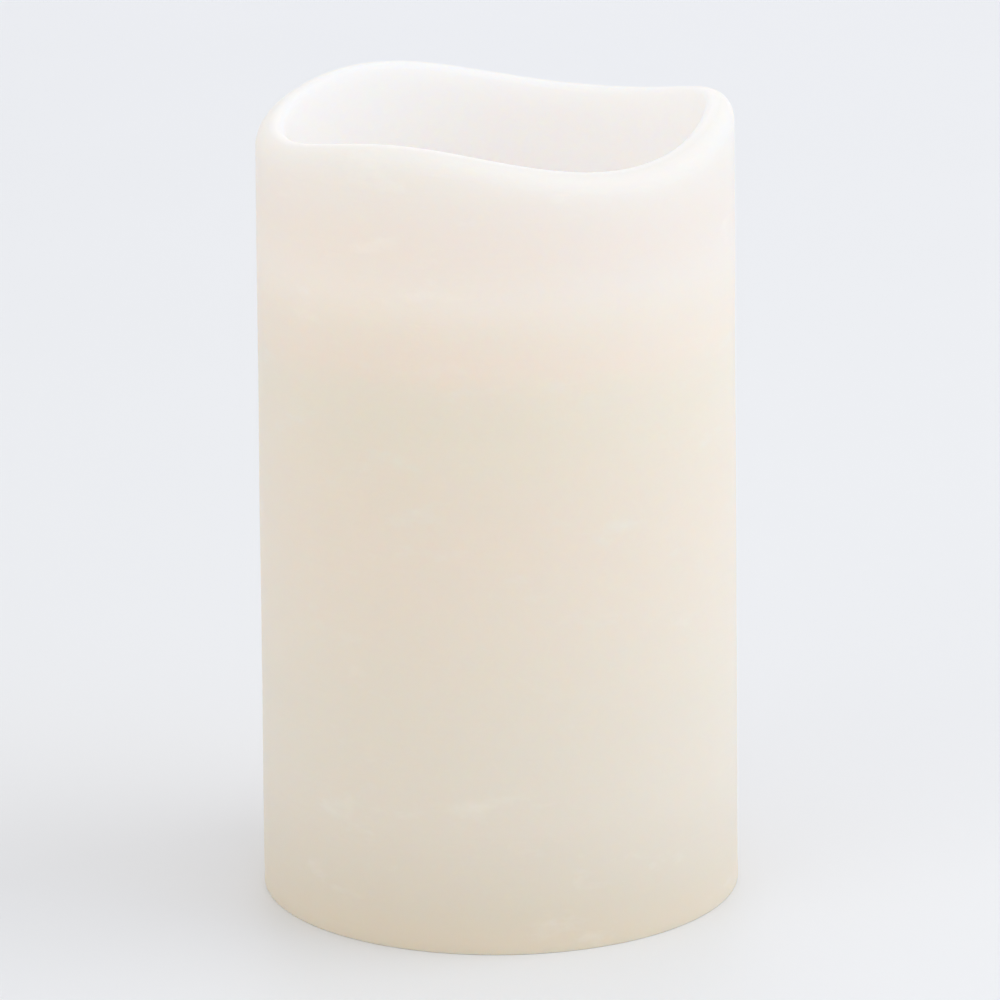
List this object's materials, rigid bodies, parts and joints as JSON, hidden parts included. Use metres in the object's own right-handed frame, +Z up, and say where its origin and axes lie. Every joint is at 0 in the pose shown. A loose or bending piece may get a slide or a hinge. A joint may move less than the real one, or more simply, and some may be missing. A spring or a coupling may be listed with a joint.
{
  "type": "flameless led candle",
  "caption": "Straight round wax pillar with a softly waving rim round a deep open cup, lit from inside by a battery LED module in its base.",
  "frame": {"origin": "centre of the flat wax ring that the candle stands on", "axes": "+Z up along the candle's axis; +X towards the battery door's hinge; the slide switch is on the -Y side of the underside"},
  "size_m": [0.0762, 0.0762, 0.1277],
  "materials": {
    "ivory_wax": "satin cast paraffin wax, slightly translucent",
    "ivory_plastic": "fine-textured moulded plastic",
    "white_plastic": "smooth moulded plastic",
    "knob_plastic": "black moulded plastic",
    "lens_epoxy": "tinted clear epoxy",
    "contact_steel": "nickel-plated spring steel",
    "screw_steel": "zinc-plated steel",
    "switch_metal": "tin-plated steel can",
    "lead_steel": "tinned wire",
    "board_laminate": "green solder mask",
    "chip_plastic": "black moulded package",
    "can_aluminium": "sleeved can",
    "resistor_body": "banded lacquer",
    "red_insulation": "smooth insulation",
    "black_insulation": "smooth insulation",
    "cell_jacket": "foil-sleeved can",
    "hot_glue": "cloudy hot-melt"
  },
  "bodies": {
    "candle": {"wax_shell": "ivory_wax", "base_tray": "ivory_plastic", "switch_body": "switch_metal", "circuit_board": "board_laminate", "timer_chip": "chip_plastic", "capacitor": "can_aluminium", "resistor": "resistor_body", "board_screws": "screw_steel", "module_cover": "white_plastic", "cover_screws": "screw_steel", "glue_bead": "hot_glue", "led_stem": "white_plastic", "led_bulb": "lens_epoxy", "led_leads": "lead_steel", "contact_positive": "contact_steel", "contact_negative": "contact_steel", "contact_bridge_1": "contact_steel", "contact_bridge_2": "contact_steel", "battery_wire_red": "red_insulation", "battery_wire_black": "black_insulation", "led_wire_red": "red_insulation", "led_wire_black": "black_insulation", "battery_1": "cell_jacket", "battery_2": "cell_jacket", "battery_3": "cell_jacket"},
    "door": {"battery_door": "ivory_plastic"},
    "slider": {"switch_knob": "knob_plastic", "switch_actuator": "knob_plastic"}
  },
  "joints": [
    {"name": "door_hinge", "type": "hinge", "parent": "candle", "child": "door", "pos_m": [0.0255, 0, 0.0023], "axis": [0, -1, 0], "range_deg": [0, 90]},
    {"name": "switch_slide", "type": "slide", "parent": "candle", "child": "slider", "axis": [1, 0, 0], "range_m": [-0.002, 0.002]}
  ]
}
